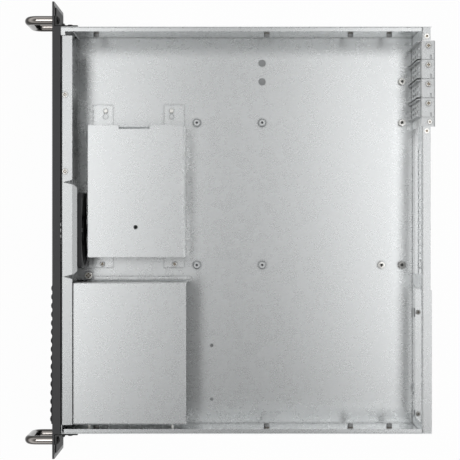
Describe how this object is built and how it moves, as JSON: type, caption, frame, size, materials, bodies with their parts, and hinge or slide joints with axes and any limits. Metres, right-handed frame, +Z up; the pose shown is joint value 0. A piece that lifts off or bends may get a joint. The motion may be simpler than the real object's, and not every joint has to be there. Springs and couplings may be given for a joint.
{
  "type": "empty rackmount server case",
  "caption": "Empty 2U rackmount server case with its top cover off: steel tray, drive cage, bay box, fan, slot covers, black front panel with rack ears and handles.",
  "frame": {"origin": "middle of the case's bounding box, on the surface that it rests on", "axes": "+X towards the right ear seen from the front, +Y from the front panel to the rear, +Z up"},
  "size_m": [0.4826, 0.4363, 0.0881],
  "materials": {
    "galvanised": "galvanised sheet, satin",
    "black_steel": "black powder coat, satin",
    "polished": "polished bar",
    "zinc_screw": "bright zinc",
    "black_plastic": "moulded, satin",
    "circuit_board": "glass-fibre board",
    "clear_plastic": "clear light pipe"
  },
  "bodies": {
    "case": {"base_pan": "galvanised", "front_wall": "galvanised", "rear_wall": "galvanised", "slot_shelf": "galvanised", "slot_cover_1": "galvanised", "slot_cover_2": "galvanised", "slot_cover_3": "galvanised", "slot_cover_4": "galvanised", "front_panel": "black_steel", "ear_bracket_left": "black_steel", "ear_bracket_right": "black_steel", "handle_left": "polished", "handle_right": "polished", "bay_cover_lower": "black_plastic", "bay_cover_upper": "black_plastic", "fan_frame": "black_plastic", "drive_cage": "galvanised", "bay_box": "galvanised", "control_bracket": "galvanised", "control_board": "circuit_board", "power_switch": "black_plastic", "reset_switch": "black_plastic", "light_pipes": "clear_plastic", "usb_sockets": "zinc_screw", "handle_screws": "black_steel", "ear_screws": "black_steel", "floor_screws": "zinc_screw", "fan_screws": "zinc_screw", "keyhole_pins": "zinc_screw", "bay_studs": "zinc_screw", "rail_inserts": "zinc_screw", "cover_nuts": "zinc_screw", "rear_rivets": "zinc_screw", "board_standoffs": "zinc_screw", "hex_standoff": "zinc_screw", "slot_screws": "zinc_screw", "flange_screws": "zinc_screw"},
    "fan_rotor": {"fan_rotor": "black_plastic"},
    "power_button": {"power_button": "black_plastic"},
    "reset_button": {"reset_button": "black_plastic"}
  },
  "joints": [
    {"name": "fan_spin", "type": "hinge", "parent": "case", "child": "fan_rotor", "pos_m": [0, -0.16, 0.0422], "axis": [0, 1, 0], "continuous": true},
    {"name": "power_press", "type": "slide", "parent": "case", "child": "power_button", "axis": [0, 1, 0], "range_m": [0, 0.0012], "stiffness_N_per_m": 150, "springref_m": -0.001},
    {"name": "reset_press", "type": "slide", "parent": "case", "child": "reset_button", "axis": [0, 1, 0], "range_m": [0, 0.0008], "stiffness_N_per_m": 60, "springref_m": -0.001}
  ]
}
